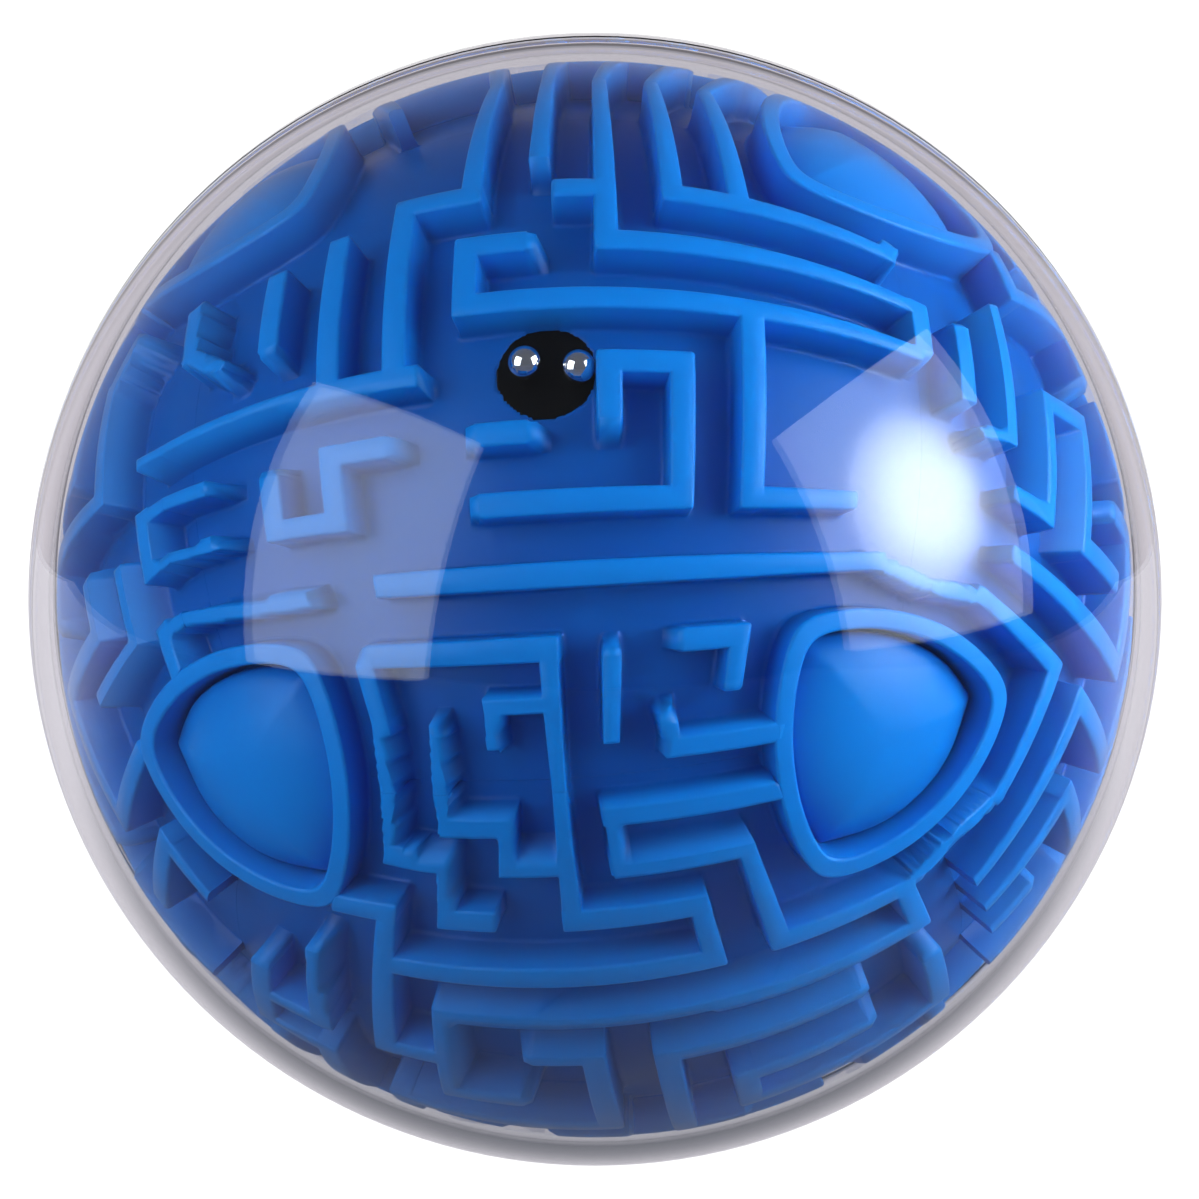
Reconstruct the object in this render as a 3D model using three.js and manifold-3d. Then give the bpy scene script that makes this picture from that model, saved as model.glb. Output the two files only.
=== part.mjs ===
// A maze ball puzzle: steel balls run in walled channels on a blue core, inside a clear shell of
// two halves. Millimetres, +Z up, origin at the centre of the ball.
import * as THREE from "three";
import { mergeVertices } from "three/addons/utils/BufferGeometryUtils.js";
import Module from "manifold-3d";

const wasm = await Module();
wasm.setup();

const degree = Math.PI / 180;

// Clear shell
const shellRadius = 60;
const shellThickness = 2.1;
const shellInnerRadius = shellRadius - shellThickness;
const shellAround = 32;
const shellArcSteps = 8;
const seamGap = 0.15;
const lipLength = 1.2;
const lipRadius = 58.9;
const rebateRadius = 59.2;
const rebateDepth = 1.5;
const innerArcStart = 0.5;

// Core: six square panels of a cube blown up to a ball, each 12 grid steps wide
const wallTopRadius = 57;
const floorRadius = 52.9;
const panelThickness = 2;
const wallRootRadius = 51.6;
const gridStep = 7.5 * degree;
const faceEdge = 6;
const panelGap = 0.02;
const floorCells = 6;
const longestWallPiece = 2;
const mergedBelow = 0.12;
const weldDistance = 1e-4;
const straight = 0.999;

// A wall takes this share of a grid step, and less where the grid closes up towards a face's edge
const wallShare = 0.36;
const wallThinning = 0.28;

// Corner caps, each in a bordered triangle with bulging sides around a cube corner
const borderArcRadius = 24.8 * degree;
const borderArcOffset = 13 * degree;
const borderPieces = 8;
const capMargin = 1.7 * degree;
const capUndersideRadius = 53.05;
const capCrownRadius = 56.7;
const capEdgeRadius = 55.4;
const capAround = 18;
const capRings = 2;

// Screws through the corners, and the frame that they pull the panels to
const headRadius = 2.7;
const headUnderside = 53.05;
const headHeight = 1.6;
const headEdgeHeight = 0.5;
const headEdgeWidth = 0.9;
const shankRadius = 1.4;
const shankEnd = 40;
const holeClearance = 0.25;
const holeStart = 46;
const socketDepth = 2;
const screwSides = 10;
const postRadius = 4;
const postEnd = 49.5;
const pilotEnd = 38;
const hubRadius = 13;
const hubHeight = 9;
const frameSplitGap = 0.15;
const frameScrewShank = 1.5;
const frameScrewHead = 2.8;
const frameScrewHeadHeight = 2.2;
const frameScrewSeat = 6.15;
const frameScrewThreadEnd = -6.5;
const frameScrewTip = -7.5;
const frameBoreStart = -1;
const frameBoreEnd = 17;
const counterboreSeat = 6;

// Home disc, flush in the floor of the front panel, and the steel balls that start on it
const discPlace = [0.1, 0.1];
const discRadius = 5.1;
const discHoleRadius = 5.3;
const flangeRadius = 6.4;
const discTop = 52.7;
const discCrown = 0.1;
const flangeTop = 49.7;
const flangeBottom = 48.7;
const discSides = 20;
const ballRadius = 1.75;
const ballAround = 12;
const ballRows = 8;
const ballClearance = 0.1;
const ballPathRadius = floorRadius + ballClearance + ballRadius;
const leftBallPlace = [-0.18, 0.15];
const rightBallPlace = [0.57, 0.05];

// How the core lies in the shell
const standAngle = 80 * degree;
const coreTilt = -25.1 * degree;
const coreTurn = -5.6 * degree;
const coreLean = 1 * degree;

const blue = { color: 0x0a66c8, roughness: 0.35, metalness: 0 };
const darkBlue = { color: 0x08408c, roughness: 0.5, metalness: 0 };
const black = { color: 0x050608, roughness: 0.4, metalness: 0 };
const steel = { color: 0xd0d2d6, roughness: 0.08, metalness: 1 };
const zinc = { color: 0xa8aab0, roughness: 0.3, metalness: 1 };
const clear = { color: 0xf2f4fa, roughness: 0.04, metalness: 0, transparent: true, opacity: 0.2 };

const faces = {
  front: { across: [1, 0, 0], up: [0, 1, 0], out: [0, 0, 1] },
  right: { across: [0, 0, -1], up: [0, 1, 0], out: [1, 0, 0] },
  back: { across: [-1, 0, 0], up: [0, 1, 0], out: [0, 0, -1] },
  left: { across: [0, 0, 1], up: [0, 1, 0], out: [-1, 0, 0] },
  top: { across: [1, 0, 0], up: [0, 0, -1], out: [0, 1, 0] },
  bottom: { across: [1, 0, 0], up: [0, 0, 1], out: [0, -1, 0] },
};

// Maze plan: on each face, wall centre-lines in grid steps across and up from the face's middle
const mazePlan = {
  front: [
    [[-1, 6], [-1, 3], [-2, 3], [-2, 0]],
    [[0, 6], [0, 3.6]],
    [[0.2, 3], [1, 3]],
    [[1, 6], [1, 2], [5.65, 2], [5.65, 1]],
    [[2, 6], [2, 3], [5.3, 3], [5.4, 3.3]],
    [[3, 6], [3, 3]],
    [[0, 2], [-1, 2], [-1, 1], [5.65, 1]],
    [[3, 1], [3, -2], [4.6, -2]],
    [[1, -1], [1, 0], [2, 0], [2, -2], [-1, -2]],
    [[-1, -1], [0, -1]],
    [[-2.6, -3], [5, -3], [6, -3.5]],
    [[-3, -4], [0, -4], [0, -6]],
    [[-3, -4], [-3, -5], [-3.3, -6]],
    [[-2, -5], [-2.3, -6]],
    [[0, -4.8], [-1, -4.8], [-1.1, -5.4]],
    [[1, -4], [1, -5.4]],
    [[2, -4], [3, -4], [3, -4.8]],
    [[1.9, -4.9], [2.1, -5.5], [4.1, -5.5]],
    [[-6, 0.1], [-1.6, 0]],
    [[-3, 2.8], [-3, 0]],
    [[-4, 2.6], [-4, 1]],
    [[-5.6, 3], [-5.5, 1.8], [-4.8, 1.1]],
    [[-6, -1], [-5, -1]],
    [[-6, -2.1], [-5, -2]],
    [[-4, -1], [-4, -2], [-3, -2], [-3, -1], [-2, -1]],
    [[-6, -3.3], [-3.6, -3.1]],
  ],
  bottom: [
    [[0, 6], [0, 4], [2, 4], [2, 3], [-3, 3]],
    [[-4, 4], [-3, 4], [-3, 1], [-2, 1]],
    [[-3.3, 6], [-3, 5], [-2.1, 4.9], [-2, 4], [-1.2, 4]],
    [[-2.3, 6], [-2.1, 5.5], [-1.05, 5.5], [-1, 4.9], [0, 4.9]],
    [[4, 5.6], [0.9, 5.6], [0.9, 4.8], [3, 4.8], [3, 3], [5, 3], [6, 3.5]],
    [[5, 3], [5, 2], [-2.1, 2.1], [-2.1, 0], [-1, 0]],
    [[-4.1, 3], [-4, 1], [-5, 1]],
    [[-1, 1.2], [0, 1.2], [0, -1], [-3, -1], [-3, -2]],
    [[4, 1.1], [1, 1.1], [1, -2], [2, -2]],
    [[5, 1], [5, -1], [2, -1], [2, 0], [4, 0]],
    [[-5, 2], [-5, 0], [-4, 0], [-4, -3]],
    [[-5, -1], [-5, -2], [-6, -2.4]],
    [[-3, -3], [-2, -3], [-2, -4], [-3, -4], [-3, -6]],
    [[-1, -2], [0, -2], [0, -4], [-1, -4], [-1, -5]],
    [[1, -6], [1, -3], [3, -3], [3, -4]],
    [[2, -5], [2, -4]],
    [[5, -2], [5, -3], [4, -3], [4, -4]],
    [[0, -3], [1, -3]],
    [[-5, -2], [-5, -3]],
    [[-4, -3], [-3, -3]],
  ],
  right: [
    [[-5.6, 2], [-5.6, 0.3]],
    [[-4.8, 2.6], [-4.8, 0], [-5.4, -0.2]],
    [[-4.7, -1], [-3.9, -1], [-3.9, 1], [-2.9, 1], [-2.9, -1], [-1.6, -1]],
    [[-4.6, -2], [-1, -2], [-1, 0], [-2, 0]],
    [[-6, -3.5], [-5, -3], [-3, -3], [-3, -5], [-3.5, -6]],
    [[-2, -6], [-2, -3], [0, -3], [0, -1], [1, -1]],
    [[-1, -6], [-1, -4], [1, -4], [1, -2], [3, -2]],
    [[-4, 4], [-4, 3], [-2, 3], [-2, 2]],
    [[-3, 6], [-3, 4], [0, 4], [0, 2], [-1, 2], [-1, 1], [1, 1]],
    [[0, 6], [0, 5], [-2, 5]],
    [[1, 6], [1, 3], [3, 3], [3, 4]],
    [[2, 6], [2, 4]],
    [[2, 2], [4, 2], [4, 4]],
    [[5, 3], [5, 1], [2, 1], [2, -1]],
    [[6, 0], [3, 0], [3, -1], [5, -1], [5, -3]],
    [[2, -3], [4, -3], [4, -4]],
    [[2, -4], [2, -6]],
    [[0, -5], [0, -6]],
    [[3, -4], [3, -5]],
    [[2, -4], [3, -4]],
  ],
  left: [
    [[5.4, 0.1], [6, 0.1]],
    [[6, -1], [5.5, -1], [5.5, -2], [6, -2.1]],
    [[6, -3.3], [5.5, -3.1], [5.5, -4]],
    [[4.8, -1.4], [4.8, -2.8], [3.2, -2.8]],
    [[4, -4], [2, -4], [2, -2], [3.8, -2], [3.8, -1]],
    [[5, 3], [4.4, 2], [4.4, 0], [2, 0], [2, -1]],
    [[4, 4], [3, 4], [3, 1], [1, 1]],
    [[3, -6], [3, -5], [1, -5]],
    [[1, -4], [1, -1], [-1, -1], [-1, -3]],
    [[2, 6], [2, 2], [0, 2], [0, 0], [-2, 0]],
    [[1, 5], [1, 3], [-1, 3], [-1, 1], [-3, 1]],
    [[0, 6], [0, 4], [-2, 4], [-2, 2], [-4, 2]],
    [[-3, 6], [-3, 4]],
    [[-4, 4], [-4, 3], [-3, 3]],
    [[-5, 3], [-5, 1]],
    [[-6, 0], [-4, 0], [-4, -1], [-2, -1], [-2, -2]],
    [[-6, -1], [-5, -1], [-5, -2], [-3, -2], [-3, -3]],
    [[-4, -4], [-2, -4], [-2, -3], [0, -3], [0, -2]],
    [[-5, -3], [-4, -3]],
    [[0, -6], [0, -4]],
    [[-1, -4], [-1, -5], [-3, -5], [-3, -6]],
    [[1, -1], [1, 0]],
    [[-1, -4], [-1, -3]],
    [[-2.4, -6], [-2.2, -5]],
  ],
  top: [
    [[-1, -6], [-1, -4], [-3, -4], [-3, -6]],
    [[0, -6], [0, -3], [-2, -3], [-2, -1]],
    [[1, -6], [1, -4], [2, -4], [2, -6]],
    [[3, -6], [3, -3], [1, -3], [1, -1], [-1, -1], [-1, -2]],
    [[2, -2], [4, -2], [4, -4]],
    [[2, 0], [2, -1], [5, -1]],
    [[5, -3], [5, -2]],
    [[6, 0], [3, 0], [3, 2], [5, 2]],
    [[-4, -4], [-4, -3], [-3, -3], [-3, -1], [-5, -1]],
    [[-5, -3], [-5, -2], [-4, -2]],
    [[-6, 0], [-1, 0], [-1, 2], [-3, 2]],
    [[-5, 1], [-2, 1]],
    [[0, 0], [0, 3], [-2, 3], [-2, 4]],
    [[1, 1], [2, 1], [2, 3], [4, 3], [4, 4]],
    [[1, 2], [1, 5], [3, 5], [3, 4]],
    [[4, 1], [5, 1]],
    [[-4, 4], [-4, 2]],
    [[-5, 3], [-5, 2]],
    [[-3, 3], [-3, 6]],
    [[-2, 6], [-2, 5], [-1, 5], [-1, 4], [0, 4]],
    [[0, 6], [0, 5]],
    [[0, -4], [1, -4]],
  ],
  back: [
    [[-3, 6], [-3, 3], [-1, 3], [-1, 5]],
    [[-2, 5], [-2, 4]],
    [[0, 6], [0, 2], [-3, 2], [-3, 1]],
    [[1, 5], [1, 1], [-2, 1], [-2, 0]],
    [[2, 6], [2, 3], [4, 3], [4, 4]],
    [[2, 2], [5, 2], [5, 3]],
    [[6, 1], [3, 1], [3, -1], [4, -1]],
    [[5, 0], [4, 0]],
    [[2, 1], [2, -2], [5, -2], [5, -1]],
    [[-4, 4], [-4, 1], [-5, 1]],
    [[-6, 2], [-5, 2], [-5, 3]],
    [[-6, 0], [-3, 0], [-3, -1], [-5, -1]],
    [[1, 0], [-1, 0], [-1, -2], [-4, -2]],
    [[0, -1], [1, -1], [1, -3], [4, -3], [4, -4]],
    [[-5, -3], [-5, -2]],
    [[-4, -4], [-4, -3], [-2, -3], [-2, -4]],
    [[0, -2], [0, -5], [-2, -5]],
    [[-3, -4], [-3, -6]],
    [[-1, -3], [-1, -4]],
    [[1, -6], [1, -4], [3, -4], [3, -6]],
    [[2, -5], [2, -6]],
  ],
};

// A corner's axis, the way from it towards the front or back face, and the third direction
function cornerFrame(axis) {
  const ahead = new THREE.Vector3(0, 0, Math.sign(axis.z)).projectOnPlane(axis).normalize();
  return { axis, ahead, aside: new THREE.Vector3().crossVectors(axis, ahead) };
}

// The direction at a reach from a corner's axis, and at an angle round it
function aroundCorner({ axis, ahead, aside }, angle, reach) {
  const tangent = ahead.clone().multiplyScalar(Math.cos(angle)).addScaledVector(aside, Math.sin(angle));
  return axis.clone().multiplyScalar(Math.cos(reach)).addScaledVector(tangent, Math.sin(reach));
}

// Angle from a corner's axis to its border: three arcs, each centred behind the opposite corner
function reachOfBorder(angle, margin) {
  const third = (2 * Math.PI) / 3;
  const fromMiddle = ((((angle % third) + third) % third) - third / 2);
  const aside = borderArcOffset * Math.sin(fromMiddle);
  const radius = borderArcRadius - margin;
  return Math.sqrt(radius ** 2 - aside ** 2) - borderArcOffset * Math.cos(fromMiddle);
}

// The wall round one corner cap, as far as it runs on one face, in grid steps
function capBorder(sideways, upwards) {
  const frame = cornerFrame(new THREE.Vector3(1, 1, 1).normalize());
  return Array.from({ length: borderPieces + 1 }, (_, i) => {
    const angle = (i / borderPieces - 0.5) * (2 * Math.PI) / 3;
    const { x, y, z } = aroundCorner(frame, angle, reachOfBorder(angle, 0));
    return [(Math.atan2(x, z) / gridStep) * sideways, (Math.atan2(y, z) / gridStep) * upwards];
  });
}

function direction(face, across, up) {
  const { across: a, up: b, out } = faces[face];
  const s = Math.tan(across * gridStep);
  const t = Math.tan(up * gridStep);
  const point = new THREE.Vector3(...out);
  point.addScaledVector(new THREE.Vector3(...a), s);
  point.addScaledVector(new THREE.Vector3(...b), t);
  return point.normalize();
}

function facePoint(face, across, up, radius) {
  return direction(face, across, up).multiplyScalar(radius);
}

// Half a wall's width, in grid steps, where it runs from one point of the plan to another
function halfWall(across, up, alongAcross, alongUp) {
  const s = Math.tan(across * gridStep);
  const t = Math.tan(up * gridStep);
  const length = Math.sqrt(1 + s * s + t * t);
  const spacingAcross = Math.sqrt(1 - (t / length) ** 2);
  const spacingUp = Math.sqrt(1 - (s / length) ** 2);
  const total = Math.abs(alongAcross) + Math.abs(alongUp);
  const spacing = (Math.abs(alongUp) * spacingAcross + Math.abs(alongAcross) * spacingUp) / total;
  return (wallShare - wallThinning * (1 - spacing)) / 2;
}

function solid(geometry) {
  const bare = geometry.clone();
  bare.deleteAttribute("normal");
  bare.deleteAttribute("uv");
  const merged = mergeVertices(bare, weldDistance);
  const vertProperties = new Float32Array(merged.attributes.position.array);
  const triVerts = new Uint32Array(merged.index.array);
  return new wasm.Manifold(new wasm.Mesh({ numProp: 3, vertProperties, triVerts }));
}

function geometryOf(made) {
  const mesh = made.getMesh();
  const geometry = new THREE.BufferGeometry();
  const positions = new THREE.BufferAttribute(mesh.vertProperties, 3);
  geometry.setAttribute("position", positions);
  geometry.setIndex(new THREE.BufferAttribute(mesh.triVerts, 1));
  geometry.computeVertexNormals();
  return geometry;
}

function geometryFrom(points, triangles) {
  const geometry = new THREE.BufferGeometry();
  const flat = points.flatMap((p) => [p.x, p.y, p.z]);
  geometry.setAttribute("position", new THREE.Float32BufferAttribute(flat, 3));
  geometry.setIndex(triangles);
  return geometry;
}

// A closed block between two grids of points, rows by columns: the lower grid and the upper one
function blockBetween(lower, upper) {
  const rows = lower.length;
  const columns = lower[0].length;
  const points = [...lower.flat(), ...upper.flat()];
  const at = (level, row, column) => level * rows * columns + row * columns + column;
  const triangles = [];
  const quad = (a, b, c, d) => triangles.push(a, b, c, a, c, d);
  for (let r = 0; r < rows - 1; r += 1) {
    for (let c = 0; c < columns - 1; c += 1) {
      quad(at(1, r, c), at(1, r, c + 1), at(1, r + 1, c + 1), at(1, r + 1, c));
      quad(at(0, r, c), at(0, r + 1, c), at(0, r + 1, c + 1), at(0, r, c + 1));
    }
  }
  for (let c = 0; c < columns - 1; c += 1) {
    quad(at(0, 0, c), at(0, 0, c + 1), at(1, 0, c + 1), at(1, 0, c));
    quad(at(0, rows - 1, c + 1), at(0, rows - 1, c), at(1, rows - 1, c), at(1, rows - 1, c + 1));
  }
  for (let r = 0; r < rows - 1; r += 1) {
    quad(at(0, r + 1, 0), at(0, r, 0), at(1, r, 0), at(1, r + 1, 0));
    quad(at(0, r, columns - 1), at(0, r + 1, columns - 1), at(1, r + 1, columns - 1), at(1, r, columns - 1));
  }
  return geometryFrom(points, triangles);
}

function panelFloor(face) {
  const edge = faceEdge - panelGap;
  const places = Array.from({ length: floorCells + 1 }, (_, i) => edge * ((2 * i) / floorCells - 1));
  const grid = (radius) => places.map((up) => places.map((across) => facePoint(face, across, up, radius)));
  return blockBetween(grid(floorRadius - panelThickness), grid(floorRadius));
}

// Points no more than the longest piece apart along a wall's centre-line
function stationsAlong(path) {
  const between = path.slice(1).flatMap(([endAcross, endUp], i) => {
    const [startAcross, startUp] = path[i];
    const length = Math.hypot(endAcross - startAcross, endUp - startUp);
    const pieces = Math.ceil(length / longestWallPiece);
    return Array.from({ length: pieces }, (_, k) => [
      startAcross + ((endAcross - startAcross) * (k + 1)) / pieces,
      startUp + ((endUp - startUp) * (k + 1)) / pieces,
    ]);
  });
  return [path[0], ...between];
}

// How far a wall's right side lies from its centre-line at a station, mitred where the wall turns
function sideStep(stations, i) {
  const [across, up] = stations[i];
  const sides = [i, i + 1].filter((k) => k > 0 && k < stations.length).map((k) => {
    const stepAcross = stations[k][0] - stations[k - 1][0];
    const stepUp = stations[k][1] - stations[k - 1][1];
    const length = Math.hypot(stepAcross, stepUp);
    const half = halfWall(across, up, stepAcross / length, stepUp / length);
    return { across: stepUp / length, up: -stepAcross / length, half };
  });
  const [before, after] = [sides[0], sides[sides.length - 1]];
  const turn = before.across * after.across + before.up * after.up;
  if (turn > straight) return [before.across * before.half, before.up * before.half];
  const shareBefore = (before.half - after.half * turn) / (1 - turn ** 2);
  const shareAfter = (after.half - before.half * turn) / (1 - turn ** 2);
  return [
    before.across * shareBefore + after.across * shareAfter,
    before.up * shareBefore + after.up * shareAfter,
  ];
}

function wall(face, path) {
  const edge = faceEdge - panelGap;
  const clampToFace = (value) => Math.min(edge, Math.max(-edge, value));
  const stations = stationsAlong(path);
  const outline = (radius) => [1, -1].map((side) => stations.map(([across, up], i) => {
    const [stepAcross, stepUp] = sideStep(stations, i);
    const placedAcross = clampToFace(across + stepAcross * side);
    const placedUp = clampToFace(up + stepUp * side);
    return facePoint(face, placedAcross, placedUp, radius);
  }));
  return solid(blockBetween(outline(wallRootRadius), outline(wallTopRadius)));
}

function wallsOf(face) {
  const borders = [capBorder(1, 1), capBorder(-1, 1), capBorder(1, -1), capBorder(-1, -1)];
  return [...mazePlan[face], ...borders].map((path) => wall(face, path));
}

// A turned solid about an axis through the ball's centre; the profile gives radius and height
function turned(profile, sides, axis) {
  const points = profile.map(([radius, height]) => new THREE.Vector2(radius, height));
  const geometry = new THREE.LatheGeometry([...points, points[0]], sides);
  const turn = new THREE.Quaternion().setFromUnitVectors(new THREE.Vector3(0, 1, 0), axis);
  return geometry.applyQuaternion(turn);
}

function rod(radius, from, to, sides, axis) {
  return solid(turned([[0, from], [radius, from], [radius, to], [0, to]], sides, axis));
}

const cornerAxes = [1, -1].flatMap((y) => [1, -1].flatMap((z) => [1, -1].map(
  (x) => new THREE.Vector3(x, y, z).normalize(),
)));
const cornerNames = [
  "front_right_top", "front_left_top", "back_right_top", "back_left_top",
  "front_right_bottom", "front_left_bottom", "back_right_bottom", "back_left_bottom",
];

function discAxis() {
  return direction("front", ...discPlace);
}

function panel(face) {
  const floor = solid(panelFloor(face));
  const walled = wallsOf(face).reduce((made, one) => made.add(one), floor);
  const out = new THREE.Vector3(...faces[face].out);
  const corners = cornerAxes.filter((axis) => axis.dot(out) > 0);
  const drilled = corners.reduce((made, axis) => {
    const hole = rod(shankRadius + holeClearance, holeStart, wallTopRadius, screwSides, axis);
    return made.subtract(hole);
  }, walled);
  if (face !== "front") return geometryOf(drilled.simplify(mergedBelow));
  const discHole = rod(discHoleRadius, flangeBottom, wallTopRadius, discSides, discAxis());
  return geometryOf(drilled.subtract(discHole).simplify(mergedBelow));
}

// A crowned plate with a socket for the screw's head under it
function cap(axis) {
  const frame = cornerFrame(axis);
  const place = (angle, share, radius) => {
    const reach = reachOfBorder(angle, capMargin) * share;
    return aroundCorner(frame, angle, reach).multiplyScalar(radius);
  };
  const angles = Array.from({ length: capAround }, (_, i) => (i / capAround) * 2 * Math.PI);
  const crown = (share) => capCrownRadius - (capCrownRadius - capEdgeRadius) * share ** 2;
  const shares = Array.from({ length: capRings }, (_, i) => (i + 1) / capRings);
  const upper = shares.map((share) => angles.map((angle) => place(angle, share, crown(share))));
  const lower = angles.map((angle) => place(angle, 1, capUndersideRadius));
  const points = [place(0, 0, capCrownRadius), ...upper.flat(), ...lower, place(0, 0, capUndersideRadius)];
  const last = points.length - 1;
  const at = (ring, i) => 1 + ring * capAround + (i % capAround);
  const triangles = [];
  for (let i = 0; i < capAround; i += 1) {
    triangles.push(0, at(0, i), at(0, i + 1));
    for (let ring = 0; ring < capRings; ring += 1) {
      triangles.push(at(ring, i), at(ring + 1, i), at(ring + 1, i + 1));
      triangles.push(at(ring, i), at(ring + 1, i + 1), at(ring, i + 1));
    }
    triangles.push(last, at(capRings, i + 1), at(capRings, i));
  }
  const plate = solid(geometryFrom(points, triangles));
  const socket = rod(headRadius + holeClearance, wallRootRadius, capUndersideRadius + socketDepth, screwSides, axis);
  return geometryOf(plate.subtract(socket));
}

function cornerScrew(axis) {
  const headTop = headUnderside + headHeight;
  const profile = [
    [0, shankEnd], [shankRadius, shankEnd + shankRadius], [shankRadius, headUnderside],
    [headRadius, headUnderside], [headRadius, headTop - headEdgeHeight],
    [headRadius - headEdgeWidth, headTop], [0, headTop],
  ];
  return turned(profile, screwSides, axis);
}

// Half of the frame: four posts on a round hub, cut off at the plane between the halves
function frameHalf(side) {
  const upward = new THREE.Vector3(0, side, 0);
  const posts = cornerAxes.filter((axis) => axis.y * side > 0);
  const hub = rod(hubRadius, frameSplitGap, hubHeight, 2 * screwSides, upward);
  const withPosts = posts.reduce((made, axis) => made.add(rod(postRadius, 0, postEnd, screwSides, axis)), hub);
  const otherSide = rod(shellRadius, -shellRadius, frameSplitGap, screwSides, upward);
  const cut = withPosts.subtract(otherSide);
  const drilled = posts.reduce((made, axis) => (
    made.subtract(rod(shankRadius + holeClearance / 2, pilotEnd, shellRadius, screwSides, axis))
  ), cut);
  const bore = rod(frameScrewShank + holeClearance / 2, frameBoreStart, frameBoreEnd, screwSides, upward);
  const bored = drilled.subtract(bore);
  if (side > 0) return geometryOf(bored);
  const counterbore = rod(frameScrewHead + holeClearance, counterboreSeat, shellRadius, screwSides, upward);
  return geometryOf(bored.subtract(counterbore));
}

// The screw that holds the two frame halves together, head in the lower half
function frameScrew() {
  const downward = new THREE.Vector3(0, -1, 0);
  const headTop = frameScrewSeat + frameScrewHeadHeight;
  const profile = [
    [0, frameScrewTip], [frameScrewShank, frameScrewThreadEnd], [frameScrewShank, frameScrewSeat],
    [frameScrewHead, frameScrewSeat], [frameScrewHead, headTop], [0, headTop],
  ];
  return turned(profile, screwSides, downward);
}

function homeDisc() {
  const profile = [
    [0, flangeBottom], [flangeRadius, flangeBottom], [flangeRadius, flangeTop],
    [discRadius, flangeTop], [discRadius, discTop - discCrown], [0, discTop],
  ];
  return turned(profile, discSides, discAxis());
}

function shellArc(radius, start, end) {
  return Array.from({ length: shellArcSteps + 1 }, (_, i) => {
    const angle = start + ((end - start) * i) / shellArcSteps;
    return [radius * Math.cos(angle), radius * Math.sin(angle)];
  });
}

// The lipped half reaches inside the other at the seam, which has the rebate
function shellHalf(lipped) {
  const quarter = Math.PI / 2;
  const step = lipped ? lipRadius : rebateRadius;
  const stepHeight = lipped ? -lipLength : rebateDepth;
  const outerStart = Math.asin(seamGap / shellRadius);
  const innerStart = Math.asin(Math.max(stepHeight, innerArcStart) / shellInnerRadius);
  const outer = shellArc(shellRadius, quarter, outerStart);
  const inner = shellArc(shellInnerRadius, innerStart, quarter);
  outer[0][0] = 0;
  inner[shellArcSteps][0] = 0;
  const insideLip = lipped ? [[shellInnerRadius, stepHeight]] : [];
  const seam = [[step, seamGap], [step, stepHeight], ...insideLip];
  const profile = [...outer, ...seam, ...inner].reverse();
  return turned(profile, shellAround, new THREE.Vector3(0, lipped ? -1 : 1, 0));
}

function ball([across, up]) {
  const geometry = new THREE.SphereGeometry(ballRadius, ballAround, ballRows);
  const place = facePoint("front", across, up, ballPathRadius);
  return geometry.translate(place.x, place.y, place.z);
}

function named(name, geometry, look) {
  const mesh = new THREE.Mesh(geometry, new THREE.MeshStandardMaterial(look));
  mesh.name = name;
  return mesh;
}

const core = new THREE.Group();
for (const face of Object.keys(faces)) core.add(named(`maze_panel_${face}`, panel(face), blue));
cornerAxes.forEach((axis, i) => {
  core.add(named(`corner_cap_${cornerNames[i]}`, cap(axis), blue));
  core.add(named(`corner_screw_${cornerNames[i]}`, cornerScrew(axis), zinc));
});
core.add(named("frame_upper", frameHalf(1), darkBlue));
core.add(named("frame_lower", frameHalf(-1), darkBlue));
core.add(named("frame_screw", frameScrew(), zinc));
core.add(named("home_disc", homeDisc(), black));
core.add(named("steel_ball_left", ball(leftBallPlace), steel));
core.add(named("steel_ball_right", ball(rightBallPlace), steel));
core.rotation.set(coreTilt, coreTurn, coreLean, "ZXY");

const stand = new THREE.Group();
stand.rotation.x = standAngle;
stand.add(core);

const puzzle = new THREE.Group();
puzzle.add(stand);
puzzle.add(named("shell_front", shellHalf(true), clear));
puzzle.add(named("shell_rear", shellHalf(false), clear));

export default puzzle;
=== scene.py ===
import math

import bpy
import numpy as np
from mathutils import Matrix, Vector


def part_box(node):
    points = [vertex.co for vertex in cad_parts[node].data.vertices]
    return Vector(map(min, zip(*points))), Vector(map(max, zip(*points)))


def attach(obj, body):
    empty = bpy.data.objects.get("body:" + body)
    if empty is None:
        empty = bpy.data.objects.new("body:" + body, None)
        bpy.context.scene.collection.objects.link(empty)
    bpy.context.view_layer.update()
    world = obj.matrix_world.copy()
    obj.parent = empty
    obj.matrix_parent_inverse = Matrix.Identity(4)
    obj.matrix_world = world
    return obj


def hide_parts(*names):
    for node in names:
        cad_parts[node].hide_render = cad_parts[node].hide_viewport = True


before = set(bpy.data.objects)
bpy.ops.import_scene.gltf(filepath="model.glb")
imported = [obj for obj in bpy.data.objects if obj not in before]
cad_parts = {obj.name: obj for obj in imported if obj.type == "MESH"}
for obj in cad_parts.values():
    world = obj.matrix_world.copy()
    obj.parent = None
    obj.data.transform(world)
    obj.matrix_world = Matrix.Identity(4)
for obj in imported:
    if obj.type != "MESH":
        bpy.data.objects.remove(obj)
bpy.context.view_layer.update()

MM = 0.001
SHELL_IOR = 1.3

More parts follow.
